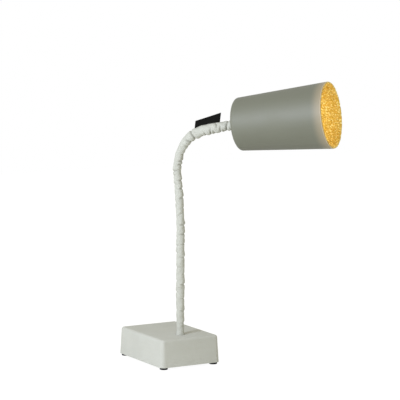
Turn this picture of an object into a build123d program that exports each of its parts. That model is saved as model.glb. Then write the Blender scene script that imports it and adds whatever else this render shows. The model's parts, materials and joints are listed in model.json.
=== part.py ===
from build123d import *
import math
import os

# A desk lamp: a drafted cast base, a bendable neck in a gathered cloth sleeve, and a
# tapered cup shade lined with gold leaf. Sizes are in millimetres and degrees.
# +Z is up, X runs along the long side of the base, and the origin is the middle of
# the base on the table.

# Fits and allowances
OVERRUN = 3.0  # how far a cut runs past the face that it opens
PUSH_GAP = 0.1  # radial room of a piece pushed into its seat
SCREW_GAP = 0.25  # radial room of a screw in a clearance hole
TOUCH_GAP = 0.3  # room kept between a soft piece and a rigid one

# Base casting
BASE_LENGTH = 170.5
BASE_WIDTH = 124.0
BASE_HEIGHT = 50.8
BASE_DRAFT = 3.6
BASE_CORNER = 9.0
BASE_TOP_ROUND = 5.0
BASE_WALL = 5.0
BASE_ROOF = 6.0
BASE_RIM = 2.5  # edge of the casting that shows around the bottom cover
POST_RADIUS = 5.5
NECK_BOSS_RADIUS = 15.0
NECK_BOSS_DROP = 5.0
RIB_THICKNESS = 4.0
RIB_DROP = 9.0

# Bottom cover and feet
COVER_THICKNESS = 2.5
COVER_GAP = 0.3
FOOT_HEIGHT = 4.0
FOOT_RADIUS = 7.5
FOOT_TAPER = 0.6
FOOT_INSET = 10.0
FOOT_FLOOR = 1.6
FOOT_SCREW_RADIUS = 2.0
FOOT_SCREW_LENGTH = 16.0
FOOT_SCREW_HEAD_RADIUS = 3.6
FOOT_SCREW_HEAD_HEIGHT = 1.8

# Ballast block
BALLAST_REAR_GAP = 10.0  # from the rear wall's foot to the block
BALLAST_NECK_GAP = 24.0  # from the block to the neck's axis
BALLAST_SIDE_GAP = 12.0  # from a side wall's foot to the block
BALLAST_HEIGHT = 16.0
BALLAST_CORNER = 6.0
BALLAST_SCREW_PITCH = 50.0
BALLAST_SCREW_RADIUS = 2.5
BALLAST_SCREW_HEAD_RADIUS = 4.5
BALLAST_SCREW_LENGTH = 12.0

# Cord gland in the rear wall
GLAND_RISE = 30.0
GLAND_BORE = 3.6
GLAND_RADIUS = 6.0
GLAND_LENGTH = 12.0
GLAND_FLANGE_RADIUS = 8.5
GLAND_FLANGE_THICKNESS = 2.5
GLAND_SEAT_DEPTH = 1.2
GLAND_NUT_WIDTH = 17.0
GLAND_NUT_HEIGHT = 4.0
GLAND_NUT_ROOM = 0.8

# Terminal block
TERMINAL_WIDTH = 30.0
TERMINAL_DEPTH = 14.0
TERMINAL_HEIGHT = 13.0
TERMINAL_OFFSET = 22.0  # from the neck's axis towards the front
TERMINAL_POLES = 3
TERMINAL_PITCH = 9.5
TERMINAL_WELL_RADIUS = 2.8
TERMINAL_WELL_DEPTH = 5.5
TERMINAL_SCREW_RADIUS = 2.4
TERMINAL_SCREW_HEIGHT = 3.5
TERMINAL_ENTRY_DEPTH = 4.0
TERMINAL_ENTRY_RISE = 5.5

# Neck line: a rise, a slight backward lean, a forward bend and the reach to the shade
NECK_SETBACK = 42.0  # from the base's front end to the neck's axis
NECK_RECESS_DEPTH = 4.0
ARM_AZIMUTH = 39.4
RISE_RUN = 230.7
LEAN_RUN = 109.0
LEAN_HEADING = 94.3
BEND_RUN = 62.0
BEND_HEADING = 50.5
REACH_RUN = 84.0
REACH_HEADING = 7.1
LEAN_ARC_SHARE = 0.30  # of the lean run
BEND_ARC_SHARE = 0.50  # of the bend run
REACH_ARC_SHARE = 0.48  # of the bend run

# Neck pieces
NECK_RADIUS = 4.8
NECK_BORE = 3.4
LEAD_RADIUS = 2.6
LEAD_TURN_RADIUS = 9.0
FERRULE_RADIUS = 5.8
FERRULE_SOCKET = 16.0
FERRULE_FLOOR = 2.0
STUD_RADIUS = 5.0
STUD_BORE = 3.3
STUD_TAIL = 2.0  # thread that shows past a nut
NUT_WIDTH = 17.0
NUT_HEIGHT = 5.0
WASHER_THICKNESS = 1.5
NECK_WASHER_RADIUS = 11.0

# Places where the neck bends, as shares of its length, and the ball seats there
JOINT_SHARES = (0.101, 0.215, 0.328, 0.442, 0.550, 0.636, 0.715, 0.787, 0.925)
PIVOT_RADIUS = 11.5
PIVOT_GAP = 0.15

# Gathered sleeve
SLEEVE_BORE = 6.0
SLEEVE_FOOT_RADIUS = 7.0
SLEEVE_HEAD_RADIUS = 8.2
FOLD_PITCH = 7.5
FOLD_HEIGHT = 0.9
FOLD_TILT = 5.0
FOLD_UNEVEN_SHARE = 0.8
FOLD_STEP_SHARES = (0.0, 0.3, 0.5, 0.8)  # valley, rise, crest and fall along one fold
FOLD_SWELL_SHARES = (-0.25, 0.3, 0.75, 0.2)  # of the fold's height at those places
FOLD_ANGLE = 137.5  # turn from one fold to the next that makes them uneven

# Cloth tab sewn to the top of the sleeve
TAB_START_SHARE = 0.826  # of the neck's length
TAB_LENGTH = 49.0
TAB_HEIGHT = 13.5
TAB_HEADING = 78.0
TAB_THICKNESS = 1.0

# Shade
SHADE_LENGTH = 175.4
SHADE_BACK_RADIUS = 47.9
SHADE_MOUTH_RADIUS = 60.0
SHADE_WALL = 2.2
SHADE_BACK_WALL = 3.0
SHADE_EDGE_ROUND = 5.0
SHADE_LIP_ROUND = 0.8
LINING_THICKNESS = 0.5
LINING_SETBACK = 1.5
OUTER_WASHER_RADIUS = 9.5
INNER_WASHER_RADIUS = 13.0

# Lampholder
HOLDER_RADIUS = 20.0
HOLDER_NECK_RADIUS = 10.0
HOLDER_WALL = 2.5
HOLDER_CAP_HEIGHT = 20.0
HOLDER_CAP_FLOOR = 4.0
HOLDER_CAP_ROUND = 6.0
HOLDER_BODY_LENGTH = 30.0
HOLDER_WEB_RISE = 4.0
HOLDER_WEB = 4.0
HOLDER_WIRE_HOLE = 1.5
HOLDER_WIRE_PITCH = 8.0
SCREW_SHELL_WALL = 0.5
SCREW_SHELL_LENGTH = 20.0
CONTACT_RADIUS = 4.0
CONTACT_THICKNESS = 1.2

# Bulb
BULB_CAP_RADIUS = 13.2
BULB_CAP_WALL = 1.0
BULB_CAP_LENGTH = 22.0
BULB_CAP_TAPER = 3.0
BULB_CAP_GAP = 0.4
BULB_COLLAR_LENGTH = 30.0
BULB_COLLAR_FOOT = 14.5
BULB_COLLAR_WALL = 1.8
BULB_RADIUS = 30.0
BULB_GLASS = 1.2
BULB_SEAT_SHARE = 0.66  # how far below its centre the globe is cut, as a share of its radius

# Places worked out from the sizes above
BASE_FLOOR = FOOT_HEIGHT
BASE_TOP = FOOT_HEIGHT + BASE_HEIGHT
BASE_SLOPE = math.tan(math.radians(BASE_DRAFT))
CAVITY_FLOOR = BASE_FLOOR + COVER_THICKNESS
ROOF_UNDERSIDE = BASE_TOP - BASE_ROOF
FOOT_X = BASE_LENGTH / 2 - FOOT_INSET
FOOT_Y = BASE_WIDTH / 2 - FOOT_INSET
FOOT_PLACES = [(x, y) for x in (-FOOT_X, FOOT_X) for y in (-FOOT_Y, FOOT_Y)]
NECK_PLACE = BASE_LENGTH / 2 - NECK_SETBACK
BALLAST_REAR = BASE_WALL + BALLAST_REAR_GAP - BASE_LENGTH / 2
BALLAST_FRONT = NECK_PLACE - BALLAST_NECK_GAP
BALLAST_LENGTH = BALLAST_FRONT - BALLAST_REAR
BALLAST_WIDTH = BASE_WIDTH - 2 * BASE_WALL - 2 * BALLAST_SIDE_GAP
BALLAST_X = (BALLAST_FRONT + BALLAST_REAR) / 2
BALLAST_SCREW_PLACES = [(BALLAST_X, y) for y in (-BALLAST_SCREW_PITCH / 2, BALLAST_SCREW_PITCH / 2)]
RECESS_FLOOR = BASE_TOP - NECK_RECESS_DEPTH
BOSS_UNDERSIDE = ROOF_UNDERSIDE - NECK_BOSS_DROP
NECK_STUD_END = BOSS_UNDERSIDE - WASHER_THICKNESS - NUT_HEIGHT - STUD_TAIL
TERMINAL_X = NECK_PLACE + TERMINAL_OFFSET
LINING_FLOOR = SHADE_BACK_WALL + PUSH_GAP
SHADE_NUT_SEAT = LINING_FLOOR + LINING_THICKNESS + WASHER_THICKNESS
HOLDER_START = SHADE_NUT_SEAT + NUT_HEIGHT
HOLDER_SEAM = HOLDER_START + HOLDER_CAP_HEIGHT
WEB_UNDERSIDE = HOLDER_SEAM + HOLDER_WEB_RISE
WEB_TOP = WEB_UNDERSIDE + HOLDER_WEB
SCREW_SHELL_BORE = BULB_CAP_RADIUS + BULB_CAP_GAP
HOLDER_BORE = SCREW_SHELL_BORE + SCREW_SHELL_WALL + PUSH_GAP
BULB_START = WEB_TOP + CONTACT_THICKNESS
BULB_COLLAR_START = BULB_START + BULB_CAP_LENGTH
GLOBE_SEAT = BULB_COLLAR_START + BULB_COLLAR_LENGTH
GLOBE_DROP = BULB_RADIUS * BULB_SEAT_SHARE
GLOBE_CENTRE = GLOBE_SEAT + GLOBE_DROP
GLOBE_MOUTH = math.sqrt(BULB_RADIUS**2 - GLOBE_DROP**2)


def heading(degrees, length):
    """A step in the upright plane of the arm."""
    angle = math.radians(degrees)
    return Vector(length * math.cos(angle), length * math.sin(angle))


def arm_plane():
    """The upright plane that holds the neck's line: local x is the reach, local y is up."""
    angle = math.radians(ARM_AZIMUTH)
    reach = (math.cos(angle), math.sin(angle), 0)
    side = (math.sin(angle), -math.cos(angle), 0)
    return Plane(origin=(NECK_PLACE, 0, 0), x_dir=reach, z_dir=side)


ARM_PLANE = arm_plane()


def neck_line():
    """Straight runs joined by tangent arcs, from the recess in the base to the shade's back."""
    runs = ((90.0, RISE_RUN), (LEAN_HEADING, LEAN_RUN), (BEND_HEADING, BEND_RUN), (REACH_HEADING, REACH_RUN))
    points = [Vector(0, RECESS_FLOOR)]
    for degrees, length in runs:
        points.append(points[-1] + heading(degrees, length))
    tangents = (LEAN_ARC_SHARE * LEAN_RUN, BEND_ARC_SHARE * BEND_RUN, REACH_ARC_SHARE * BEND_RUN)
    radii = []
    for (before, _), (after, _), tangent in zip(runs, runs[1:], tangents):
        radii.append(tangent / math.tan(math.radians(abs(after - before) / 2)))
    return Wire((ARM_PLANE * FilletPolyline(*points, radius=radii)).edges())


NECK_LINE = neck_line()
NECK_LENGTH = NECK_LINE.length
JOINT_LENGTHS = [share * NECK_LENGTH for share in JOINT_SHARES]
SLEEVE_END = NECK_LENGTH - WASHER_THICKNESS - TOUCH_GAP


def neck_plane(length):
    """The cross-section plane of the neck at a length along it, on a steady X axis."""
    place = NECK_LINE.position_at(length, position_mode=PositionMode.LENGTH)
    along = NECK_LINE.tangent_at(length, position_mode=PositionMode.LENGTH)
    return Plane(origin=place, x_dir=ARM_PLANE.z_dir, z_dir=along)


HEAD_PLANE = neck_plane(NECK_LENGTH)


def neck_stretch(start, end):
    return NECK_LINE.trim(start / NECK_LENGTH, end / NECK_LENGTH)


def turned(*points):
    """A ring turned about Z from (radius, height) points."""
    outline = Polyline(*points, close=True)
    return revolve(Plane.XZ * make_face(outline), axis=Axis.Z)


def ring(outer, inner, low, high):
    return turned((inner, low), (outer, low), (outer, high), (inner, high))


def hex_nut(width, bore, low, height):
    blank = extrude(RegularPolygon(width / 2, side_count=6, major_radius=False), amount=height)
    return Pos(0, 0, low) * (blank - Cylinder(bore, height + 2 * OVERRUN))


def drafted_block(length, width, height, corner):
    return extrude(RectangleRounded(length, width, corner), amount=height, taper=BASE_DRAFT)


def copies(piece, places):
    return [Pos(x, y, 0) * piece for x, y in places]


def gland_planes():
    """Where the gland's flange seats outside the rear wall, and its nut inside."""
    lean = GLAND_RISE * BASE_SLOPE
    seat = -(BASE_LENGTH / 2 - lean - GLAND_SEAT_DEPTH)
    nut_seat = -(BASE_LENGTH / 2 - BASE_WALL - lean + GLAND_NUT_ROOM)
    return seat, nut_seat


def along_gland(piece, place):
    """Stands a piece made along +Z on the gland's axis, which points out of the rear wall."""
    axis = Plane(origin=(place, 0, BASE_FLOOR + GLAND_RISE), x_dir=(0, 1, 0), z_dir=(-1, 0, 0))
    return axis * piece


def gland_cuts():
    seat, nut_seat = gland_planes()
    depth = BASE_WALL + OVERRUN
    upward = (Align.CENTER, Align.CENTER, Align.MIN)
    spot = along_gland(Cylinder(GLAND_FLANGE_RADIUS + SCREW_GAP, depth, align=upward), seat)
    nut_corner = GLAND_NUT_WIDTH / math.sqrt(3) + SCREW_GAP
    nut_spot = along_gland(Cylinder(nut_corner, depth, align=upward), nut_seat + depth)
    hole = along_gland(Cylinder(GLAND_RADIUS + PUSH_GAP, 4 * depth), seat)
    return spot + nut_spot + hole


def base_housing():
    block = Pos(0, 0, BASE_FLOOR) * drafted_block(BASE_LENGTH, BASE_WIDTH, BASE_HEIGHT, BASE_CORNER)
    block = fillet(block.faces().sort_by(Axis.Z)[-1].edges(), BASE_TOP_ROUND)
    inner_length = BASE_LENGTH - 2 * BASE_WALL
    inner_width = BASE_WIDTH - 2 * BASE_WALL
    cavity = drafted_block(inner_length, inner_width, BASE_HEIGHT - BASE_ROOF, BASE_CORNER - BASE_WALL)
    shell = block - Pos(0, 0, BASE_FLOOR) * cavity
    upward = (Align.CENTER, Align.CENTER, Align.MIN)
    post = Cylinder(POST_RADIUS, ROOF_UNDERSIDE - CAVITY_FLOOR, align=upward)
    pilot = Cylinder(FOOT_SCREW_RADIUS + PUSH_GAP, FOOT_SCREW_LENGTH + OVERRUN, align=upward)
    boss = Cylinder(NECK_BOSS_RADIUS, NECK_BOSS_DROP, align=upward)
    rib_size = (RIB_THICKNESS, inner_width - 2 * BASE_HEIGHT * BASE_SLOPE, RIB_DROP)
    rib = Pos(NECK_PLACE, 0, ROOF_UNDERSIDE - RIB_DROP) * Box(*rib_size, align=upward)
    nut_room = Cylinder(NECK_BOSS_RADIUS, RIB_DROP, align=upward)
    shell += rib - Pos(NECK_PLACE, 0, BOSS_UNDERSIDE - RIB_DROP) * nut_room
    shell += Pos(NECK_PLACE, 0, BOSS_UNDERSIDE) * boss
    shell += copies(Pos(0, 0, CAVITY_FLOOR) * post, FOOT_PLACES)
    shell -= copies(Pos(0, 0, CAVITY_FLOOR) * pilot, FOOT_PLACES)
    opening = RectangleRounded(BASE_LENGTH - 2 * BASE_RIM, BASE_WIDTH - 2 * BASE_RIM, BASE_CORNER - BASE_RIM)
    shell -= Pos(0, 0, BASE_FLOOR) * extrude(opening, amount=COVER_THICKNESS)
    recess = Cylinder(SLEEVE_FOOT_RADIUS + 2 * FOLD_HEIGHT, BASE_ROOF, align=upward)
    shell -= Pos(NECK_PLACE, 0, RECESS_FLOOR) * recess
    shell -= Pos(NECK_PLACE, 0, RECESS_FLOOR) * Cylinder(STUD_RADIUS + PUSH_GAP, 4 * BASE_ROOF)
    return shell - gland_cuts()


def bottom_cover():
    margin = BASE_RIM + COVER_GAP
    outline = RectangleRounded(BASE_LENGTH - 2 * margin, BASE_WIDTH - 2 * margin, BASE_CORNER - margin)
    plate = Pos(0, 0, BASE_FLOOR) * extrude(outline, amount=COVER_THICKNESS)
    hole = Pos(0, 0, BASE_FLOOR) * Cylinder(FOOT_SCREW_RADIUS + SCREW_GAP, 4 * COVER_THICKNESS)
    plate -= copies(hole, FOOT_PLACES)
    return plate - copies(ballast_screw(SCREW_GAP), BALLAST_SCREW_PLACES)


def rubber_feet():
    seat = BASE_FLOOR - FOOT_FLOOR
    well = FOOT_SCREW_HEAD_RADIUS + SCREW_GAP
    hole = FOOT_SCREW_RADIUS + PUSH_GAP
    foot = turned(
        (well, 0),
        (FOOT_RADIUS - FOOT_TAPER, 0),
        (FOOT_RADIUS, FOOT_TAPER),
        (FOOT_RADIUS, BASE_FLOOR),
        (hole, BASE_FLOOR),
        (hole, seat),
        (well, seat),
    )
    return copies(foot, FOOT_PLACES)


def foot_screws():
    seat = BASE_FLOOR - FOOT_FLOOR
    tip = seat + FOOT_SCREW_LENGTH
    screw = turned(
        (0, seat - FOOT_SCREW_HEAD_HEIGHT),
        (FOOT_SCREW_HEAD_RADIUS, seat - FOOT_SCREW_HEAD_HEIGHT),
        (FOOT_SCREW_HEAD_RADIUS, seat),
        (FOOT_SCREW_RADIUS, seat),
        (FOOT_SCREW_RADIUS, tip),
        (0, tip),
    )
    return copies(screw, FOOT_PLACES)


def ballast_screw(room):
    """A countersunk screw with its head flush under the cover, grown by a radial room."""
    head = BALLAST_SCREW_HEAD_RADIUS + room
    shank = BALLAST_SCREW_RADIUS + room
    tip = BASE_FLOOR + BALLAST_SCREW_LENGTH
    return turned(
        (0, BASE_FLOOR),
        (head, BASE_FLOOR),
        (shank, BASE_FLOOR + head - shank),
        (shank, tip),
        (0, tip),
    )


def ballast_screws():
    return copies(ballast_screw(0), BALLAST_SCREW_PLACES)


def ballast_block():
    block = extrude(RectangleRounded(BALLAST_LENGTH, BALLAST_WIDTH, BALLAST_CORNER), amount=BALLAST_HEIGHT)
    block = Pos(BALLAST_X, 0, CAVITY_FLOOR) * block
    return block - copies(ballast_screw(PUSH_GAP), BALLAST_SCREW_PLACES)


def cord_gland():
    seat, _ = gland_planes()
    bush = turned(
        (GLAND_BORE, -GLAND_LENGTH),
        (GLAND_RADIUS, -GLAND_LENGTH),
        (GLAND_RADIUS, 0),
        (GLAND_FLANGE_RADIUS, 0),
        (GLAND_FLANGE_RADIUS, GLAND_FLANGE_THICKNESS),
        (GLAND_BORE, GLAND_FLANGE_THICKNESS),
    )
    return along_gland(bush, seat)


def gland_nut():
    _, nut_seat = gland_planes()
    nut = hex_nut(GLAND_NUT_WIDTH, GLAND_RADIUS + PUSH_GAP, -GLAND_NUT_HEIGHT, GLAND_NUT_HEIGHT)
    return along_gland(nut, nut_seat)


def terminal_places():
    first = -TERMINAL_PITCH * (TERMINAL_POLES - 1) / 2
    return [(TERMINAL_X, first + pole * TERMINAL_PITCH) for pole in range(TERMINAL_POLES)]


def terminal_block():
    upward = (Align.CENTER, Align.CENTER, Align.MIN)
    block = Box(TERMINAL_DEPTH, TERMINAL_WIDTH, TERMINAL_HEIGHT, align=upward)
    block = fillet(block.edges().filter_by(Axis.Z), TERMINAL_WELL_RADIUS / 2)
    block = Pos(TERMINAL_X, 0, CAVITY_FLOOR) * block
    well = Cylinder(TERMINAL_WELL_RADIUS, TERMINAL_WELL_DEPTH + OVERRUN, align=upward)
    well = Pos(0, 0, CAVITY_FLOOR + TERMINAL_HEIGHT - TERMINAL_WELL_DEPTH) * well
    entry = Cylinder(LEAD_RADIUS + PUSH_GAP, 2 * TERMINAL_ENTRY_DEPTH)
    face = TERMINAL_X - TERMINAL_DEPTH / 2
    entry = Pos(face, 0, CAVITY_FLOOR + TERMINAL_ENTRY_RISE) * Rot(0, 90, 0) * entry
    return block - copies(well, terminal_places()) - entry


def terminal_screws():
    seat = CAVITY_FLOOR + TERMINAL_HEIGHT - TERMINAL_WELL_DEPTH
    upward = (Align.CENTER, Align.CENTER, Align.MIN)
    screw = Pos(0, 0, seat) * Cylinder(TERMINAL_SCREW_RADIUS, TERMINAL_SCREW_HEIGHT, align=upward)
    return copies(screw, terminal_places())


def ferrule(shoulder_gap, stud_length):
    """A crimped end fitting: its socket runs along -Z from the shoulder, its stud along +Z."""
    shoulder = -shoulder_gap
    socket = NECK_RADIUS + PUSH_GAP
    return turned(
        (STUD_BORE, stud_length),
        (STUD_RADIUS, stud_length),
        (STUD_RADIUS, shoulder),
        (FERRULE_RADIUS, shoulder),
        (FERRULE_RADIUS, shoulder - FERRULE_FLOOR - FERRULE_SOCKET),
        (socket, shoulder - FERRULE_FLOOR - FERRULE_SOCKET),
        (socket, shoulder - FERRULE_FLOOR),
        (STUD_BORE, shoulder - FERRULE_FLOOR),
    )


def neck_base_ferrule():
    downward = Plane(origin=(NECK_PLACE, 0, RECESS_FLOOR), x_dir=(1, 0, 0), z_dir=(0, 0, -1))
    return downward * ferrule(0, RECESS_FLOOR - NECK_STUD_END)


def neck_washer():
    low = BOSS_UNDERSIDE - WASHER_THICKNESS
    return Pos(NECK_PLACE, 0, 0) * ring(NECK_WASHER_RADIUS, STUD_RADIUS + PUSH_GAP, low, BOSS_UNDERSIDE)


def neck_nut():
    low = BOSS_UNDERSIDE - WASHER_THICKNESS - NUT_HEIGHT
    return Pos(NECK_PLACE, 0, 0) * hex_nut(NUT_WIDTH, STUD_RADIUS + PUSH_GAP, low, NUT_HEIGHT)


def seated(piece, start_joint, end_joint):
    """Cuts a neck piece to the ball seats at its ends: hollow at the start, domed at the end."""
    if end_joint is not None:
        upward = (Align.CENTER, Align.CENTER, Align.MIN)
        beyond = neck_plane(end_joint) * Cylinder(2 * PIVOT_RADIUS, 2 * PIVOT_RADIUS, align=upward)
        piece -= beyond - Pos(*neck_plane(end_joint).origin) * Sphere(PIVOT_RADIUS)
    if start_joint is not None:
        piece -= Pos(*neck_plane(start_joint).origin) * Sphere(PIVOT_RADIUS + PIVOT_GAP)
    return piece


def neck_spans(first, last):
    """For each body along the neck: start and end of a piece, and the joints at its ends."""
    reach = PIVOT_RADIUS + OVERRUN
    starts = [None] + JOINT_LENGTHS
    ends = JOINT_LENGTHS + [None]
    spans = []
    for start, end in zip(starts, ends):
        low = first if start is None else start
        high = last if end is None else end + reach
        spans.append((low, high, start, end))
    return spans


def neck_tube(start, end, outer):
    stretch = neck_stretch(start, end)
    return sweep(neck_plane(start) * Circle(outer), path=stretch)


def gooseneck_links():
    first = FERRULE_FLOOR
    last = NECK_LENGTH - WASHER_THICKNESS - FERRULE_FLOOR
    links = []
    for low, high, start, end in neck_spans(first, last):
        link = neck_tube(low, high, NECK_RADIUS) - neck_tube(low, high, NECK_BORE)
        links.append(seated(link, start, end))
    return links


def fold_circles(low, high):
    """Circles of the gathered cloth between two lengths along the neck, four to a fold."""
    circles = []
    for fold in range(math.floor(low / FOLD_PITCH), math.ceil(high / FOLD_PITCH) + 1):
        turn = math.radians(fold * FOLD_ANGLE)
        height = FOLD_HEIGHT * (1 + FOLD_UNEVEN_SHARE * math.sin(turn))
        for step, swell in zip(FOLD_STEP_SHARES, FOLD_SWELL_SHARES):
            length = (fold + step) * FOLD_PITCH
            if low < length < high:
                circles.append((length, height * swell, turn))
    edge = FOLD_HEIGHT * FOLD_SWELL_SHARES[0]
    spare = FOLD_PITCH / 8
    inner = [circle for circle in circles if low + spare < circle[0] < high - spare]
    return [(low, edge, None)] + inner + [(high, edge, None)]


def fold_section(length, swell, turn):
    radius = SLEEVE_FOOT_RADIUS + (SLEEVE_HEAD_RADIUS - SLEEVE_FOOT_RADIUS) * length / NECK_LENGTH
    plane = neck_plane(length)
    if turn is not None:
        plane = plane.rotated((FOLD_TILT * math.cos(turn), FOLD_TILT * math.sin(turn), 0))
    return plane * Circle(radius + swell)


def sleeve_lengths():
    pieces = []
    for low, high, start, end in neck_spans(TOUCH_GAP, SLEEVE_END):
        cloth = loft([fold_section(*circle) for circle in fold_circles(low, high)], ruled=True)
        bore = neck_tube(max(low - OVERRUN, 0), min(high + OVERRUN, NECK_LENGTH), SLEEVE_BORE)
        pieces.append(seated(cloth - bore, start, end))
    return pieces


def base_lead(end):
    """The lead's first length, from the terminal block, round a bend and up inside the neck."""
    level = CAVITY_FLOOR + TERMINAL_ENTRY_RISE
    entry = TERMINAL_X - TERMINAL_DEPTH / 2 + TERMINAL_ENTRY_DEPTH - TOUCH_GAP
    top = neck_plane(end).origin
    route = FilletPolyline((entry, 0, level), (NECK_PLACE, 0, level), top, radius=LEAD_TURN_RADIUS)
    start = Plane(origin=(entry, 0, level), x_dir=(0, 1, 0), z_dir=(-1, 0, 0))
    return sweep(start * Circle(LEAD_RADIUS), path=Wire(route.edges()))


def lead_lengths():
    spans = neck_spans(0, NECK_LENGTH)
    pieces = [seated(base_lead(spans[0][1]), None, spans[0][3])]
    for low, high, start, end in spans[1:]:
        core = neck_tube(low, high, LEAD_RADIUS)
        if end is None:
            upward = (Align.CENTER, Align.CENTER, Align.MIN)
            core += HEAD_PLANE * Cylinder(LEAD_RADIUS, WEB_UNDERSIDE - TOUCH_GAP, align=upward)
        pieces.append(seated(core, start, end))
    return pieces


def sleeve_tab():
    """A flat cloth tab that stands on the sleeve: lower edge along the sleeve's top, upper edge straight."""
    start = TAB_START_SHARE * NECK_LENGTH
    lift = SLEEVE_HEAD_RADIUS + FOLD_HEIGHT * FOLD_SWELL_SHARES[2] * (1 + FOLD_UNEVEN_SHARE)
    lower = []
    for length in (start, start + TAB_LENGTH / 2, start + TAB_LENGTH):
        plane = neck_plane(length)
        outward = ARM_PLANE.z_dir.cross(plane.z_dir)
        lower.append(ARM_PLANE.to_local_coords(plane.origin + outward * lift))
    rise = heading(TAB_HEADING, TAB_HEIGHT)
    outline = [
        ThreePointArc(*lower),
        Polyline(lower[2], lower[2] + rise, lower[0] + rise, lower[0]),
    ]
    return ARM_PLANE * extrude(make_face(outline), amount=TAB_THICKNESS / 2, both=True)


def neck_tip_ferrule():
    return HEAD_PLANE * ferrule(WASHER_THICKNESS, HOLDER_START + HOLDER_CAP_FLOOR + STUD_TAIL)


def shade_outer_washer():
    return HEAD_PLANE * ring(OUTER_WASHER_RADIUS, STUD_RADIUS + PUSH_GAP, -WASHER_THICKNESS, 0)


def wall_radius(height):
    """The shade's outside radius at a height above its back."""
    return SHADE_BACK_RADIUS + (SHADE_MOUTH_RADIUS - SHADE_BACK_RADIUS) * height / SHADE_LENGTH


def cup_face(inset, low, high, wall, floor, edge_round, lip_round):
    """Half section of a tapered cup: inset from the shade's outside, with rounded back edges."""
    hole = STUD_RADIUS + PUSH_GAP
    outline = Polyline(
        (hole, low),
        (wall_radius(low) - inset, low),
        (wall_radius(high) - inset, high),
        (wall_radius(high) - inset - wall, high),
        (wall_radius(low + floor) - inset - wall, low + floor),
        (hole, low + floor),
        close=True,
    )
    face = make_face(outline)
    corners = face.vertices().sort_by(Axis.Y)
    back_edge = max(corners[:2], key=lambda corner: corner.X)
    inner_edge = max(corners[2:4], key=lambda corner: corner.X)
    lip = corners[4:]
    face = fillet(inner_edge, edge_round - min(wall, floor))
    face = fillet(min_distance_corner(face, back_edge), edge_round)
    for corner in lip:
        face = fillet(min_distance_corner(face, corner), lip_round)
    return face


def min_distance_corner(face, corner):
    return min(face.vertices(), key=lambda other: (other.center() - corner.center()).length)


def shade_cup():
    face = cup_face(0, 0, SHADE_LENGTH, SHADE_WALL, SHADE_BACK_WALL, SHADE_EDGE_ROUND, SHADE_LIP_ROUND)
    return HEAD_PLANE * revolve(Plane.XZ * face, axis=Axis.Z)


def shade_lining():
    inset = SHADE_WALL + PUSH_GAP
    edge_round = SHADE_EDGE_ROUND - SHADE_WALL
    lip_round = LINING_THICKNESS / 3
    high = SHADE_LENGTH - LINING_SETBACK
    face = cup_face(inset, LINING_FLOOR, high, LINING_THICKNESS, LINING_THICKNESS, edge_round, lip_round)
    return HEAD_PLANE * revolve(Plane.XZ * face, axis=Axis.Z)


def shade_inner_washer():
    low = LINING_FLOOR + LINING_THICKNESS
    return HEAD_PLANE * ring(INNER_WASHER_RADIUS, STUD_RADIUS + PUSH_GAP, low, low + WASHER_THICKNESS)


def shade_nut():
    return HEAD_PLANE * hex_nut(NUT_WIDTH, STUD_RADIUS + PUSH_GAP, SHADE_NUT_SEAT, NUT_HEIGHT)


def holder_cap():
    hole = STUD_RADIUS + PUSH_GAP
    inner = HOLDER_RADIUS - HOLDER_WALL
    floor = HOLDER_START + HOLDER_CAP_FLOOR
    outline = Polyline(
        (hole, HOLDER_START),
        (HOLDER_NECK_RADIUS, HOLDER_START),
        (HOLDER_RADIUS, HOLDER_START + HOLDER_CAP_HEIGHT / 2),
        (HOLDER_RADIUS, HOLDER_SEAM),
        (inner, HOLDER_SEAM),
        (inner, HOLDER_START + HOLDER_CAP_HEIGHT / 2),
        (HOLDER_NECK_RADIUS, floor),
        (hole, floor),
        close=True,
    )
    face = make_face(outline)
    shoulder = max(face.vertices(), key=lambda corner: corner.X - corner.Y)
    face = fillet(shoulder, HOLDER_CAP_ROUND)
    return HEAD_PLANE * revolve(Plane.XZ * face, axis=Axis.Z)


def holder_body():
    end = HOLDER_SEAM + HOLDER_BODY_LENGTH
    inner = HOLDER_RADIUS - HOLDER_WALL
    tube = turned(
        (0, WEB_UNDERSIDE),
        (inner, WEB_UNDERSIDE),
        (inner, HOLDER_SEAM),
        (HOLDER_RADIUS, HOLDER_SEAM),
        (HOLDER_RADIUS, end),
        (HOLDER_BORE, end),
        (HOLDER_BORE, WEB_TOP),
        (0, WEB_TOP),
    )
    places = [(-HOLDER_WIRE_PITCH, 0), (HOLDER_WIRE_PITCH, 0)]
    hole = Pos(0, 0, WEB_TOP) * Cylinder(HOLDER_WIRE_HOLE, 4 * HOLDER_WEB)
    return HEAD_PLANE * (tube - copies(hole, places))


def holder_screw_shell():
    outer = SCREW_SHELL_BORE + SCREW_SHELL_WALL
    return HEAD_PLANE * ring(outer, SCREW_SHELL_BORE, WEB_TOP, WEB_TOP + SCREW_SHELL_LENGTH)


def holder_contact():
    return HEAD_PLANE * ring(CONTACT_RADIUS, 0, WEB_TOP, WEB_TOP + CONTACT_THICKNESS)


def bulb_cap():
    inner = BULB_CAP_RADIUS - BULB_CAP_WALL
    cap = turned(
        (0, BULB_START),
        (CONTACT_RADIUS, BULB_START),
        (BULB_CAP_RADIUS, BULB_START + BULB_CAP_TAPER),
        (BULB_CAP_RADIUS, BULB_COLLAR_START),
        (inner, BULB_COLLAR_START),
        (inner, BULB_START + BULB_CAP_TAPER + BULB_CAP_WALL),
        (0, BULB_START + BULB_CAP_TAPER),
    )
    return HEAD_PLANE * cap


def bulb_collar():
    floor = BULB_COLLAR_START + BULB_COLLAR_WALL
    shell = turned(
        (0, BULB_COLLAR_START),
        (BULB_COLLAR_FOOT, BULB_COLLAR_START),
        (GLOBE_MOUTH, GLOBE_SEAT),
        (GLOBE_MOUTH - BULB_COLLAR_WALL, GLOBE_SEAT),
        (BULB_COLLAR_FOOT - BULB_COLLAR_WALL, floor),
        (0, floor),
    )
    return HEAD_PLANE * shell


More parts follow.
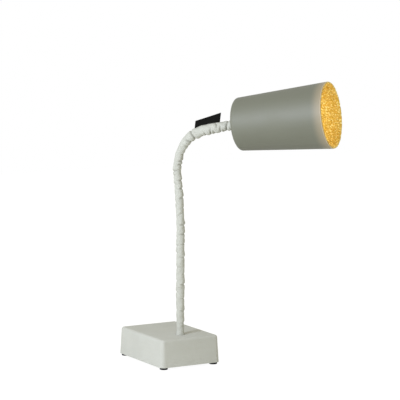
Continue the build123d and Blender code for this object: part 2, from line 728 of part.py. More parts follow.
def bulb_globe():
    ball = Sphere(BULB_RADIUS) - Sphere(BULB_RADIUS - BULB_GLASS)
    downward = (Align.CENTER, Align.CENTER, Align.MAX)
    below = Cylinder(2 * BULB_RADIUS, 2 * BULB_RADIUS, align=downward)
    globe = ball - Pos(0, 0, -GLOBE_DROP) * below
    return HEAD_PLANE * Pos(0, 0, GLOBE_CENTRE) * globe


SINGLE_PIECES = (
    base_housing,
    bottom_cover,
    rubber_feet,
    foot_screws,
    ballast_block,
    ballast_screws,
    cord_gland,
    gland_nut,
    terminal_block,
    terminal_screws,
    neck_base_ferrule,
    neck_washer,
    neck_nut,
    sleeve_tab,
    neck_tip_ferrule,
    shade_outer_washer,
    shade_cup,
    shade_lining,
    shade_inner_washer,
    shade_nut,
    holder_cap,
    holder_body,
    holder_screw_shell,
    holder_contact,
    bulb_cap,
    bulb_collar,
    bulb_globe,
)
NECK_SERIES = {
    "gooseneck": gooseneck_links,
    "sleeve": sleeve_lengths,
    "lead": lead_lengths,
}


def main():
    os.makedirs("parts", exist_ok=True)
    nodes = {make.__name__: make() for make in SINGLE_PIECES}
    for name, make in NECK_SERIES.items():
        for number, piece in enumerate(make(), start=1):
            nodes[f"{name}_{number}"] = piece
    for name, piece in nodes.items():
        solids = piece if isinstance(piece, list) else [piece]
        group = Compound(children=[solid for item in solids for solid in item.solids()])
        export_step(group, f"parts/{name}.step")


if __name__ == "__main__":
    main()
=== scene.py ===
import json
import math
import random

import bmesh
import bpy
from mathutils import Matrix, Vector, noise


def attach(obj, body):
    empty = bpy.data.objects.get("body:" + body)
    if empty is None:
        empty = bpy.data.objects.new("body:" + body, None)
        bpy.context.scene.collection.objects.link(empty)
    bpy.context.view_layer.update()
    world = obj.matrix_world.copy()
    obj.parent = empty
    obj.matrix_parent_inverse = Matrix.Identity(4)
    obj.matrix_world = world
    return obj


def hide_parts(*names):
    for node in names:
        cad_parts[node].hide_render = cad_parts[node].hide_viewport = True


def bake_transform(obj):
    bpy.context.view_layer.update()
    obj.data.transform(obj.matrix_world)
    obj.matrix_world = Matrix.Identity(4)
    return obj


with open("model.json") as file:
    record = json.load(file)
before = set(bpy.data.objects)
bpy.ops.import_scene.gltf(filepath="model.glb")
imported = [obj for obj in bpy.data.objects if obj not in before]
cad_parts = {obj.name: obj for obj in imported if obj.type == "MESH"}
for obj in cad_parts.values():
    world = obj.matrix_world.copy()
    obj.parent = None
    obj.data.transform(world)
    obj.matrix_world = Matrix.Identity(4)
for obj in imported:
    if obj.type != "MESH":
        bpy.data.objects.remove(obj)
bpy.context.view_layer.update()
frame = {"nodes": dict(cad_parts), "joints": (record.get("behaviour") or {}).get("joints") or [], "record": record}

# A desk lamp: a cast base, a bendable neck in a gathered cloth sleeve with a black cloth
# tab, and a tapered shade lined with crumpled gold leaf. Lengths are in metres.

MERGE_DISTANCE = 0.00001

# Camera
CAMERA_AZIMUTH = 60.43
CAMERA_ELEVATION = 7.11
CAMERA_DISTANCE = 3.684
CAMERA_TARGET = Vector((0.0508, 0.0380, 0.3039))
CAMERA_LENS = 180
CAMERA_SENSOR = 36

# Light
KEY_DIRECTION = Vector((0.31, -0.88, 0.36))
KEY_DISTANCE = 1.7
KEY_SIZE = 0.6
KEY_POWER = 20
KEY_COLOUR = (0.94, 1.0, 1.12)
WHITE = (1, 1, 1, 1)
AMBIENT_STRENGTH = 0.63
AMBIENT_COLOUR = (1.0, 0.965, 0.79, 1)
BACKDROP_STRENGTH = 1.0
FLOOR_SIZE = 6.0
FLOOR_GLOW = 1.1
FLOOR_GLOW_SHARE = 0.87
FLOOR_COLOUR = (0.90, 0.90, 0.86, 1)
FLOOR_ROUGHNESS = 0.9

# Neck line: straight runs joined by tangent arcs, in the upright plane of the arm
ARM_AZIMUTH = 39.4
NECK_START = 0.0508
RISE_RUN = 0.2307
LEAN_RUN = 0.109
BEND_RUN = 0.062
REACH_RUN = 0.084
RUNS = ((90.0, RISE_RUN), (94.3, LEAN_RUN), (50.5, BEND_RUN), (7.1, REACH_RUN))
ARC_TANGENTS = (0.30 * LEAN_RUN, 0.50 * BEND_RUN, 0.48 * BEND_RUN)
ARM_START_SHARE = 0.60
ARM_GROWTH_SHARE = 0.2

# Sleeve
SLEEVE_START = 0.0008
SLEEVE_END_GAP = 0.0018
LEAST_RADIUS = 0.0058
HEM_RADIUS = 0.0062
HEM_LENGTH = 0.003
RING_COUNT = 640
AROUND_COUNT = 60
CREASE_DEPTH = 0.0017
# How deep a crease is where its painted shade is darkest, and how fast the painted shade grows
DEEPEST_CREASE = 1.5
CREASE_DARKENING = 1.3
CREASE_WIDTH = 0.0013
CREASE_SHARPNESS = 1.3
CREASE_FADE = 1.35
CREASE_TILT = 0.004
CREASE_WANDER_SHARE = 0.35
CREASE_NOISE_STEP = 3.7
CREASE_ARM_SHARE = 0.1
FOLD_HEIGHT = 0.0015
FOLD_OVERHANG = 0.0040
FOLD_FOOT = 0.0042
FOLD_FOOT_SHARE = 0.45
FOLD_REACH = 5 * FOLD_FOOT
LUMP_HEIGHT = 0.0008
LUMP_LENGTH = 0.017
LUMP_TWIST = 0.011
WRINKLE_HEIGHT = 0.00016
WRINKLE_LENGTH = 0.0045
WRINKLE_TWIST = 4 * WRINKLE_LENGTH
WRINKLES_AROUND = 2.6
CUT_GATHER_SHARE = 1.12
BLEND_REACH = 0.014
THREAD_PITCH = 0.0006
SLUB_THREADS = 14

# How far the sleeve lies from the neck's line: share of the neck's length, outer side and
# inner side. It hangs slack below the arm.
SLEEVE_HULL = (
    (0.00, 0.0080, 0.0080),
    (0.008, 0.0080, 0.0080),
    (0.024, 0.0066, 0.0070),
    (0.14, 0.0070, 0.0073),
    (0.20, 0.0064, 0.0080),
    (0.42, 0.0062, 0.0080),
    (0.47, 0.0066, 0.0078),
    (0.56, 0.0059, 0.0080),
    (0.61, 0.0063, 0.0072),
    (0.68, 0.0058, 0.0084),
    (0.72, 0.0062, 0.0080),
    (0.77, 0.0078, 0.0088),
    (0.80, 0.0074, 0.0092),
    (0.83, 0.0062, 0.0120),
    (0.88, 0.0060, 0.0128),
    (0.91, 0.0070, 0.0106),
    (0.96, 0.0074, 0.0088),
    (1.00, 0.0076, 0.0080),
)

# Creases of the sleeve: share of the neck's length, angle of the deepest point from the
# outer side, half the angle it runs round, depth and tilt
CREASES = (
    (0.055, 170, 110, 0.4, 0.3),
    (0.100, 180, 120, 0.6, -0.3),
    (0.128, -60, 110, 0.4, 0.5),
    (0.150, 175, 90, 0.4, 0.2),
    (0.175, 0, 100, 0.9, 0.2),
    (0.190, 90, 110, 0.5, 0.1),
    (0.205, 180, 110, 0.8, 0.1),
    (0.220, 0, 100, 0.9, -0.2),
    (0.245, 180, 80, 0.4, 0.2),
    (0.270, 0, 200, 0.7, 0.2),
    (0.310, 180, 110, 0.7, -0.2),
    (0.325, 0, 100, 0.9, 0.2),
    (0.352, 20, 150, 0.7, 0.9),
    (0.362, 180, 90, 0.6, 0.4),
    (0.385, 0, 80, 0.5, -0.2),
    (0.400, 180, 120, 0.8, 0.2),
    (0.435, 180, 110, 0.9, -0.2),
    (0.475, 120, 110, 0.4, 0.8),
    (0.500, 170, 90, 0.4, 0.3),
    (0.522, 0, 100, 0.8, 0.2),
    (0.540, 180, 110, 0.9, 0.2),
    (0.550, 0, 90, 0.6, -0.2),
    (0.575, 180, 110, 0.9, 0.1),
    (0.592, 0, 140, 0.8, 0.1),
    (0.606, 180, 100, 0.9, -0.2),
    (0.625, 20, 100, 0.8, 0.4),
    (0.642, 30, 190, 1.0, 0.35),
    (0.668, 165, 75, 1.0, -0.3),
    (0.684, 170, 75, 1.0, 0.3),
    (0.716, 180, 60, 0.5, 0.2),
    (0.757, 178, 60, 0.6, 0.3),
    (0.782, 150, 85, 1.3, 0.4),
    (0.808, 120, 200, 1.7, -0.3),
    (0.845, 180, 60, 0.5, 0.2),
    (0.862, 178, 75, 1.1, 0.5),
    (0.888, 172, 100, 1.5, -0.5),
    (0.903, 178, 75, 1.1, 0.3),
    (0.915, 75, 60, 1.2, 0.7),
    (0.928, 150, 95, 1.2, -0.4),
    (0.942, 182, 75, 1.0, 0.2),
    (0.955, 110, 190, 1.8, -0.6),
    (0.970, 170, 80, 0.9, 0.3),
    (0.985, 190, 100, 0.8, 0.2),
)

# Smaller creases on the other side, spread at random
BACK_CREASE_COUNT = 24
BACK_CREASE_SEED = 7
BACK_CREASE_PLACES = (0.2, 0.8)
BACK_CREASE_DEPTHS = (0.4, 0.7)
BACK_CREASE_ARM_DEPTH = 0.6
BACK_CREASE_ANGLES = (-140, -60)
BACK_CREASE_REACHES = (60, 100)
BACK_CREASE_TILTS = (-0.6, 0.6)

# Tab
TAB_START_SHARE = 0.822
TAB_LENGTH = 0.049
TAB_HEIGHT = 0.0157
TAB_FLARE = 0.0036
TAB_HEADING = 82.5
TAB_LIFT = 0.0056
TAB_FOLD_RADIUS = 0.00035
TAB_CLOTH = 0.0003
TAB_BOW = 0.0006
TAB_BOW_TURNS = 1.1
TAB_BOW_START = 0.6
TAB_STEPS = 60
TAB_RISE_STEPS = 12
TAB_FOLD_STEPS = 5
TAB_THREAD_PITCH = THREAD_PITCH / 2

# Shade and its gold leaf
SHADE_LENGTH = 0.1754
SHADE_BACK_RADIUS = 0.0479
SHADE_MOUTH_RADIUS = 0.060
SHADE_WALL = 0.0022
SHADE_BACK_WALL = 0.003
SHADE_EDGE_ROUND = 0.005
SHADE_HOLE = 0.0051
SHADE_CELL = 0.005
SHADE_STEPS = 200
ROUND_STEPS = 6
LIP_ROUND = 0.0008
LEAF_INSET = 0.0024
LEAF_FLOOR = 0.0032
LEAF_HOLE = 0.0055
LEAF_CORNER = 0.003
LEAF_CORNER_STEPS = 4
LEAF_THICKNESS = 0.0002
LEAF_STEPS = 240
LEAF_CELL = 0.0016
LEAF_CRUMPLE = 0.0008
LEAF_CRUMPLE_SIZE = 0.0048
LEAF_CRUMPLE_OCTAVES = ((1, 0.6), (2.3, 0.4))

# The middle of a noise's values, and the scale at which a wave repeats once in each unit
NOISE_MIDDLE = (0.3, 0.7)
ONE_WAVE = math.pi / 10

# Cement of the base: sizes, depths and colours of its marks
CEMENT_ROUGHNESS = 0.86
CEMENT_CLOUD = 0.06
CEMENT_LINE = 0.004
CEMENT_LINE_STRETCH = (0.12, 0.12, 1)
CEMENT_GRAIN = 0.0011
CEMENT_PORE = 0.0052
CEMENT_PORE_RIM = (0.02, 0.1)
CEMENT_LINE_DEPTH = 0.0004
CEMENT_GRAIN_DEPTH = 0.00012
CEMENT_PORE_DEPTH = 0.0004
CEMENT_DARK = (0.49, 0.50, 0.48, 1)
CEMENT_LIGHT = (0.54, 0.55, 0.53, 1)
CEMENT_LINE_COLOUR = (0.46, 0.455, 0.41, 1)
CEMENT_GRAIN_COLOUR = (0.42, 0.42, 0.385, 1)
CEMENT_PORE_COLOUR = (0.38, 0.38, 0.345, 1)

# Paint of the shade, with a painted warm glow near its rim and painted light on its lip
PAINT_INDEX = 1.54
PAINT_GLOSS = 1.0
PAINT_ROUGHNESS = (0.60, 0.66)
PAINT_CLOUD = 0.05
PAINT_GRAIN = 0.0009
PAINT_GRAIN_DEPTH = 0.00006
PAINT_DARK = (0.109, 0.1145, 0.079, 1)
PAINT_LIGHT = (0.119, 0.1245, 0.088, 1)
PAINT_GRAIN_COLOUR = (0.21, 0.216, 0.18, 1)
# Painted warm glow on the paint near the mouth
PAINTED_RIM_GLOW_LENGTH = 0.022
PAINTED_RIM_GLOW_SHARE = 0.58
PAINTED_RIM_GLOW_COLOUR = (0.40, 0.32, 0.21, 1)
# Painted light on the lip at the mouth
PAINTED_LIP_LIGHT_LENGTH = 0.0016
PAINTED_LIP_LIGHT_SHARE = 0.8
PAINTED_LIP_LIGHT_COLOUR = (0.78, 0.64, 0.46, 1)

# Gold leaf
GOLD_ROUGHNESS = (0.6, 0.8)
GOLD_PATCH = 0.011
GOLD_STREAK = 0.010
GOLD_STREAK_STRETCH = (3.0, 3.0, 3.0)
GOLD_CRUMPLE = 0.0032
GOLD_CRUMPLE_DEPTH = 0.0008
GOLD_FACET = 0.0042
GOLD_FACET_DEPTH = 0.0006
# Painted glints: size and cut of the pale specks on the leaf
GOLD_PAINTED_GLINT = 0.0028
GOLD_PAINTED_GLINT_CUT = (0.52, 0.65)
GOLD_DARK = (0.72, 0.51, 0.065, 1)
GOLD_LIGHT = (0.80, 0.635, 0.13, 1)
GOLD_STREAK_COLOUR = (0.95, 0.82, 0.33, 1)
GOLD_CRUMPLE_COLOUR = (0.58, 0.31, 0.015, 1)
# Colour of the painted glints
GOLD_PAINTED_GLINT_COLOUR = (0.96, 0.90, 0.46, 1)

# Cloth of the sleeve and of the tab
SLEEVE_ROUGHNESS = 0.92
SLEEVE_GLOSS = 0.2
SLEEVE_CLOUD = 0.03
SLUB_DEPTH = 0.00012
WEAVE_DEPTH = 0.00012
SLEEVE_DARK = (0.49, 0.50, 0.47, 1)
SLEEVE_LIGHT = (0.545, 0.555, 0.525, 1)
SLEEVE_CLOUD_COLOUR = (0.465, 0.465, 0.425, 1)
# Painted shade in the sleeve's creases
CREASE_PAINTED_SHADE_SHARE = 0.6
CREASE_PAINTED_SHADE_COLOUR = (0.17, 0.165, 0.135, 1)
TAB_ROUGHNESS = 0.85
TAB_GLOSS = 0.06
TAB_WEAVE_DEPTH = 0.0001
TAB_DARK = (0.004, 0.004, 0.0038, 1)
TAB_LIGHT = (0.011, 0.011, 0.0105, 1)

# Bulb
BULB_GLOW = 2.5
BULB_GLOW_COLOUR = (1.0, 0.94, 0.8, 1)
BULB_ROUGHNESS = 0.3
BULB_SKIN = 0.6
BULB_SKIN_ROUGHNESS = 0.08
BULB_CLOUD = 0.02
BULB_DARK = (0.86, 0.86, 0.83, 1)
BULB_LIGHT = (0.91, 0.91, 0.885, 1)

# Stock materials: dark and light colour, size and depth of the grain, range of the roughness
# and what else is set
STOCK_CLOUD_GRAINS = 14
PLAIN = {}
METAL = {"Metallic": 1.0}
DULL = {"Specular_IOR_Level": 0.15}
STOCK_FINISHES = {
    "foot_rubber": (
        (0.005, 0.0055, 0.007, 1), (0.010, 0.0105, 0.013, 1), 0.0008, 0.00008, (0.55, 0.75), DULL
    ),
    "cover_paint": ((0.05, 0.05, 0.05, 1), (0.07, 0.07, 0.068, 1), 0.001, 0.0001, (0.5, 0.65), PLAIN),
    "ballast_iron": (
        (0.05, 0.048, 0.045, 1), (0.09, 0.085, 0.08, 1), 0.0014, 0.0003, (0.6, 0.85), PLAIN
    ),
    "zinc_steel": ((0.52, 0.52, 0.53, 1), (0.62, 0.62, 0.61, 1), 0.0006, 0.00003, (0.28, 0.45), METAL),
    "gooseneck_steel": ((0.42, 0.42, 0.43, 1), (0.5, 0.5, 0.5, 1), 0.0006, 0.00003, (0.3, 0.5), METAL),
    "contact_brass": ((0.68, 0.48, 0.19, 1), (0.78, 0.58, 0.27, 1), 0.0005, 0.00002, (0.25, 0.4), METAL),
    "bulb_metal": ((0.62, 0.62, 0.61, 1), (0.72, 0.72, 0.7, 1), 0.0005, 0.00002, (0.25, 0.4), METAL),
    "gland_plastic": (
        (0.016, 0.016, 0.017, 1), (0.026, 0.026, 0.027, 1), 0.0006, 0.00005, (0.45, 0.6), PLAIN
    ),
    "terminal_plastic": ((0.6, 0.58, 0.5, 1), (0.68, 0.66, 0.58, 1), 0.0006, 0.00003, (0.4, 0.55), PLAIN),
    "holder_plastic": ((0.70, 0.69, 0.64, 1), (0.76, 0.75, 0.71, 1), 0.0007, 0.00003, (0.3, 0.42), PLAIN),
    "bulb_plastic": ((0.74, 0.74, 0.71, 1), (0.79, 0.79, 0.77, 1), 0.0006, 0.00003, (0.45, 0.6), PLAIN),
    "lead_sheath": ((0.68, 0.68, 0.66, 1), (0.75, 0.75, 0.73, 1), 0.0007, 0.00004, (0.5, 0.65), PLAIN),
}

ARM_ANGLE = math.radians(ARM_AZIMUTH)
REACH = Vector((math.cos(ARM_ANGLE), math.sin(ARM_ANGLE), 0))
SIDE = Vector((math.sin(ARM_ANGLE), -math.cos(ARM_ANGLE), 0))
UP = Vector((0, 0, 1))


# Neck line
def neck_stretches():
    """Length and turn of each straight run and arc."""
    stretches = []
    for index, (degrees, run) in enumerate(RUNS):
        before = ARC_TANGENTS[index - 1] if index else 0
        after = ARC_TANGENTS[index] if index < len(ARC_TANGENTS) else 0
        stretches.append((run - before - after, 0))
        if after:
            turn = math.radians(RUNS[index + 1][0] - degrees)
            radius = after / math.tan(abs(turn) / 2)
            stretches.append((radius * abs(turn), turn))
    return stretches


STRETCHES = neck_stretches()
NECK_LENGTH = sum(length for length, turn in STRETCHES)
NECK_FOOT = Vector(frame["joints"][0]["pos_m"]) * Vector((1, 1, 0)) + UP * NECK_START


def neck_place(length):
    """The point, the direction and the outer side of the neck's line at a length along it."""
    reach = 0
    rise = 0
    heading = math.radians(RUNS[0][0])
    for run, turn in STRETCHES:
        step = min(length, run)
        if turn:
            radius = run / turn
            after = heading + turn * step / run
            reach += radius * (math.sin(after) - math.sin(heading))
            rise -= radius * (math.cos(after) - math.cos(heading))
            heading = after
        else:
            reach += step * math.cos(heading)
            rise += step * math.sin(heading)
        length -= step
        if length <= 0:
            break
    direction = REACH * math.cos(heading) + UP * math.sin(heading)
    return NECK_FOOT + REACH * reach + UP * rise, direction, SIDE.cross(direction)


def length_nearest(point):
    """The length along the neck that lies nearest to a point."""
    lengths = [NECK_LENGTH * step / RING_COUNT for step in range(RING_COUNT + 1)]
    return min(lengths, key=lambda length: (neck_place(length)[0] - Vector(point)).length)


SHADE_BACK, SHADE_AXIS = neck_place(NECK_LENGTH)[:2]
SHADE_BACK_ALONG = SHADE_BACK.dot(SHADE_AXIS)
JOINT_LENGTHS = [length_nearest(joint["pos_m"]) for joint in frame["joints"]]


def bend_across(piece, index):
    """Works out the neck's points on either side of one joint, and bakes a piece's placement into its mesh."""
    start = neck_place(JOINT_LENGTHS[index] - BLEND_REACH)[0]
    end = neck_place(JOINT_LENGTHS[index] + BLEND_REACH)[0]
    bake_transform(piece)


# Node helpers
def add_node(tree, kind, inputs=None, **settings):
    """Adds a node; an input that is a socket is linked, any other is set."""
    made = tree.nodes.new(kind)
    for name, value in settings.items():
        setattr(made, name, value)
    for key, value in (inputs or {}).items():
        if isinstance(value, bpy.types.NodeSocket):
            tree.links.new(value, made.inputs[key])
        else:
            made.inputs[key].default_value = value
    return made


def start_material(name, **constants):
    """A new material with its shader; constants go straight on the shader's sockets."""
    made = bpy.data.materials.new(name)
    made.use_nodes = True
    shader = made.node_tree.nodes["Principled BSDF"]
    for socket, value in constants.items():
        shader.inputs[socket.replace("_", " ")].default_value = value
    return made, made.node_tree, shader


def object_place(tree, stretch=(1, 1, 1)):
    """Object coordinates, stretched along the axes."""
    place = add_node(tree, "ShaderNodeTexCoord").outputs["Object"]
    return add_node(tree, "ShaderNodeMapping", {"Vector": place, "Scale": stretch}).outputs["Vector"]


def cloth_place(tree, around, along):
    """The cloth's own UV map, counted in threads."""
    place = add_node(tree, "ShaderNodeTexCoord").outputs["UV"]
    inputs = {"Vector": place, "Scale": (round(along), round(around), 1)}
    return add_node(tree, "ShaderNodeMapping", inputs).outputs["Vector"]


def along_shade(tree, place):
    """How far a place lies along the shade's axis."""
    inputs = {0: place, 1: tuple(SHADE_AXIS)}
    return add_node(tree, "ShaderNodeVectorMath", inputs, operation="DOT_PRODUCT").outputs["Value"]


def mottle(tree, place, size, detail=3, roughness=0.55):
    """Soft noise with features of a size in metres."""
    inputs = {"Vector": place, "Scale": 1 / size, "Detail": detail, "Roughness": roughness}
    return add_node(tree, "ShaderNodeTexNoise", inputs).outputs["Fac"]


def cells(tree, place, size, feature):
    """Distances within random cells of a size in metres."""
    inputs = {"Vector": place, "Scale": 1 / size, "Randomness": 1.0}
    return add_node(tree, "ShaderNodeTexVoronoi", inputs, feature=feature).outputs["Distance"]


def remap(tree, value, low, high, to_low=0, to_high=1, way="LINEAR"):
    """Maps one range of values onto another."""
    inputs = {"Value": value, "From Min": low, "From Max": high, "To Min": to_low, "To Max": to_high}
    return add_node(tree, "ShaderNodeMapRange", inputs, interpolation_type=way).outputs["Result"]


def spread(tree, value, low=0, high=1):
    """Maps the middle of a noise onto a range."""
    return remap(tree, value, *NOISE_MIDDLE, low, high)


def blend_colours(tree, share, first, second):
    inputs = {0: share, 6: first, 7: second}
    return add_node(tree, "ShaderNodeMix", inputs, data_type="RGBA").outputs[2]


def combine(tree, way, first, second):
    return add_node(tree, "ShaderNodeMath", {0: first, 1: second}, operation=way).outputs[0]


def raise_surface(tree, height, depth, strength, onto=None):
    """A bump of a depth in metres, laid on an earlier bump if there is one."""
    inputs = {"Height": height, "Distance": depth, "Strength": strength}
    if onto is not None:
        inputs["Normal"] = onto
    return add_node(tree, "ShaderNodeBump", inputs).outputs["Normal"]


def join(tree, shader, **sockets):
    for name, source in sockets.items():
        tree.links.new(source, shader.inputs[name.replace("_", " ")])


# Materials
def cast_cement():
    """Pale cement: soft clouds, faint level casting lines, fine grain and a few pores."""
    made, tree, shader = start_material("cast_cement", Roughness=CEMENT_ROUGHNESS)
    place = object_place(tree)
    clouds = mottle(tree, place, CEMENT_CLOUD, detail=5, roughness=0.6)
    lines = mottle(tree, object_place(tree, CEMENT_LINE_STRETCH), CEMENT_LINE, detail=4, roughness=0.6)
    grain = mottle(tree, place, CEMENT_GRAIN, detail=2, roughness=0.7)
    pits = remap(tree, cells(tree, place, CEMENT_PORE, "F1"), *CEMENT_PORE_RIM)
    colour = blend_colours(tree, spread(tree, clouds), CEMENT_DARK, CEMENT_LIGHT)
    colour = blend_colours(tree, spread(tree, lines, high=0.22), colour, CEMENT_LINE_COLOUR)
    colour = blend_colours(tree, spread(tree, grain, high=0.14), colour, CEMENT_GRAIN_COLOUR)
    colour = blend_colours(tree, pits, CEMENT_PORE_COLOUR, colour)
    surface = raise_surface(tree, lines, CEMENT_LINE_DEPTH, strength=0.35)
    surface = raise_surface(tree, grain, CEMENT_GRAIN_DEPTH, strength=0.5, onto=surface)
    surface = raise_surface(tree, pits, CEMENT_PORE_DEPTH, strength=0.6, onto=surface)
    join(tree, shader, Base_Color=colour, Normal=surface)
    return made


def shade_paint():
    """Matte grey-green coat with a fine spray grain, a painted warm glow near the mouth and painted light on its
    lip.
    """
    made, tree, shader = start_material("shade_paint", IOR=PAINT_INDEX, Specular_IOR_Level=PAINT_GLOSS)
    place = object_place(tree)
    along = along_shade(tree, place)
    mouth = SHADE_BACK_ALONG + SHADE_LENGTH
    # Painted warm glow near the mouth
    painted_glow = remap(tree, along, mouth - PAINTED_RIM_GLOW_LENGTH, mouth, to_high=PAINTED_RIM_GLOW_SHARE, way="SMOOTHSTEP")
    # Painted light on the lip; edge holds its share
    edge = remap(tree, along, mouth - PAINTED_LIP_LIGHT_LENGTH, mouth, to_high=PAINTED_LIP_LIGHT_SHARE)
    clouds = mottle(tree, place, PAINT_CLOUD, detail=4)
    grain = mottle(tree, place, PAINT_GRAIN, detail=2, roughness=0.7)
    colour = blend_colours(tree, spread(tree, clouds), PAINT_DARK, PAINT_LIGHT)
    colour = blend_colours(tree, spread(tree, grain, high=0.1), colour, PAINT_GRAIN_COLOUR)
    colour = blend_colours(tree, painted_glow, colour, PAINTED_RIM_GLOW_COLOUR)
    colour = blend_colours(tree, edge, colour, PAINTED_LIP_LIGHT_COLOUR)
    join(tree, shader, Base_Color=colour, Roughness=spread(tree, clouds, *PAINT_ROUGHNESS))
    join(tree, shader, Normal=raise_surface(tree, grain, PAINT_GRAIN_DEPTH, strength=0.4))
    return made


def streaked_place(tree, place):
    """Object coordinates stretched along the shade's axis, so that marks run round the shade."""
    inputs = {0: tuple(SHADE_AXIS), 3: along_shade(tree, place)}
    along = add_node(tree, "ShaderNodeVectorMath", inputs, operation="SCALE").outputs["Vector"]
    inputs = {0: along, 1: GOLD_STREAK_STRETCH, 2: place}
    return add_node(tree, "ShaderNodeVectorMath", inputs, operation="MULTIPLY_ADD").outputs["Vector"]


def gold_leaf():
    """Crumpled leaf: metal with small facets, streaks round the shade and painted pale glints."""
    made, tree, shader = start_material("gold_leaf", Metallic=1.0)
    place = object_place(tree)
    patches = mottle(tree, place, GOLD_PATCH, detail=4, roughness=0.65)
    streaks = mottle(tree, streaked_place(tree, place), GOLD_STREAK, detail=5, roughness=0.7)
    crumple = mottle(tree, place, GOLD_CRUMPLE, detail=4, roughness=0.75)
    painted_glints = mottle(tree, place, GOLD_PAINTED_GLINT, detail=2, roughness=0.6)
    facets = cells(tree, place, GOLD_FACET, "F2")
    colour = blend_colours(tree, spread(tree, patches), GOLD_DARK, GOLD_LIGHT)
    colour = blend_colours(tree, spread(tree, streaks, high=0.7), colour, GOLD_STREAK_COLOUR)
    colour = blend_colours(tree, spread(tree, crumple, high=0.85), colour, GOLD_CRUMPLE_COLOUR)
    # Painted glints: pale specks laid on the colour
    colour = blend_colours(tree, remap(tree, painted_glints, *GOLD_PAINTED_GLINT_CUT), colour, GOLD_PAINTED_GLINT_COLOUR)
    surface = raise_surface(tree, facets, GOLD_FACET_DEPTH, strength=0.5)
    surface = raise_surface(tree, crumple, GOLD_CRUMPLE_DEPTH, strength=0.7, onto=surface)
    join(tree, shader, Base_Color=colour, Normal=surface)
    join(tree, shader, Roughness=spread(tree, patches, *GOLD_ROUGHNESS))
    return made


def weave_height(tree, place):
    """Plain weave: warp and weft threads that pass over and under each other in turn."""
    inputs = {"Vector": place, "Scale": ONE_WAVE}
    warp = add_node(tree, "ShaderNodeTexWave", inputs).outputs["Fac"]
    weft = add_node(tree, "ShaderNodeTexWave", inputs, bands_direction="Y").outputs["Fac"]
    over = add_node(tree, "ShaderNodeTexChecker", {"Vector": place, "Scale": 1.0}).outputs["Fac"]
    return add_node(tree, "ShaderNodeMix", {0: over, 2: warp, 3: weft}).outputs[0]


def sleeve_cloth():
    """Pale undyed cotton: plain weave, slubs along the threads, painted shade in the creases."""
    made, tree, shader = start_material(
        "sleeve_cloth", Roughness=SLEEVE_ROUGHNESS, Specular_IOR_Level=SLEEVE_GLOSS
    )
    around = 2 * math.pi * HEM_RADIUS / THREAD_PITCH
    along = NECK_LENGTH * CUT_GATHER_SHARE / THREAD_PITCH
    weave = weave_height(tree, cloth_place(tree, around, along))
    slub_inputs = {"Vector": cloth_place(tree, around, along / SLUB_THREADS), "Scale": 0.9, "Detail": 2}
    slubs = add_node(tree, "ShaderNodeTexNoise", slub_inputs).outputs["Fac"]
    clouds = mottle(tree, object_place(tree), SLEEVE_CLOUD)
    # Painted shade in the creases, from each vertex's share
    crease_shade = add_node(tree, "ShaderNodeAttribute", attribute_name="crease_shade").outputs["Fac"]
    painted_crease_shade = combine(tree, "MULTIPLY", crease_shade, CREASE_PAINTED_SHADE_SHARE)
    colour = blend_colours(tree, spread(tree, slubs), SLEEVE_DARK, SLEEVE_LIGHT)
    colour = blend_colours(tree, spread(tree, clouds, high=0.25), colour, SLEEVE_CLOUD_COLOUR)
    colour = blend_colours(tree, painted_crease_shade, colour, CREASE_PAINTED_SHADE_COLOUR)
    surface = raise_surface(tree, slubs, SLUB_DEPTH, strength=0.4)
    surface = raise_surface(tree, weave, WEAVE_DEPTH, strength=0.5, onto=surface)
    join(tree, shader, Base_Color=colour, Normal=surface)
    return made


def tab_cloth():
    """Black ribbon: a dense weave with a slight lustre."""
    made, tree, shader = start_material("tab_cloth", Roughness=TAB_ROUGHNESS, Specular_IOR_Level=TAB_GLOSS)
    place = cloth_place(tree, 2 * TAB_HEIGHT / TAB_THREAD_PITCH, TAB_LENGTH / TAB_THREAD_PITCH)
    weave = weave_height(tree, place)
    colour = blend_colours(tree, weave, TAB_DARK, TAB_LIGHT)
    join(tree, shader, Base_Color=colour, Normal=raise_surface(tree, weave, TAB_WEAVE_DEPTH, strength=0.6))
    return made


def opal_glass():
    """Opal globe: milky white under a clear skin, lit from within."""
    made, tree, shader = start_material(
        "opal_glass",
        Coat_Weight=BULB_SKIN,
        Coat_Roughness=BULB_SKIN_ROUGHNESS,
        Roughness=BULB_ROUGHNESS,
        Emission_Color=BULB_GLOW_COLOUR,
        Emission_Strength=BULB_GLOW,
    )
    clouds = mottle(tree, object_place(tree), BULB_CLOUD)
    join(tree, shader, Base_Color=blend_colours(tree, spread(tree, clouds), BULB_DARK, BULB_LIGHT))
    return made


def stock_finish(name, dark, light, grain, depth, roughness, constants):
    """A moulded, cast or rolled stock material: two near colours, an uneven gloss and a fine grain."""
    made, tree, shader = start_material(name, **constants)
    place = object_place(tree)
    clouds = mottle(tree, place, grain * STOCK_CLOUD_GRAINS, detail=4)
    fine = mottle(tree, place, grain, roughness=0.65)
    colour = blend_colours(tree, spread(tree, clouds), dark, light)
    join(tree, shader, Base_Color=colour, Roughness=spread(tree, fine, *roughness))
    join(tree, shader, Normal=raise_surface(tree, fine, depth, strength=0.5))
    return made


FINISHES = {
    "cast_base": cast_cement(),
    "shade_shell": shade_paint(),
    "gold_leaf": gold_leaf(),
    "sleeve_cloth": sleeve_cloth(),
    "tab_cloth": tab_cloth(),
    "opal_glass": opal_glass(),
}
for stock_name, stock_values in STOCK_FINISHES.items():
    FINISHES[stock_name] = stock_finish(stock_name, *stock_values)


def dress_frame():
    for subpart in frame["record"]["subparts"]:
        mesh = frame["nodes"][subpart["node"]].data
        mesh.materials.clear()
        mesh.materials.append(FINISHES[subpart["material_slot"]])


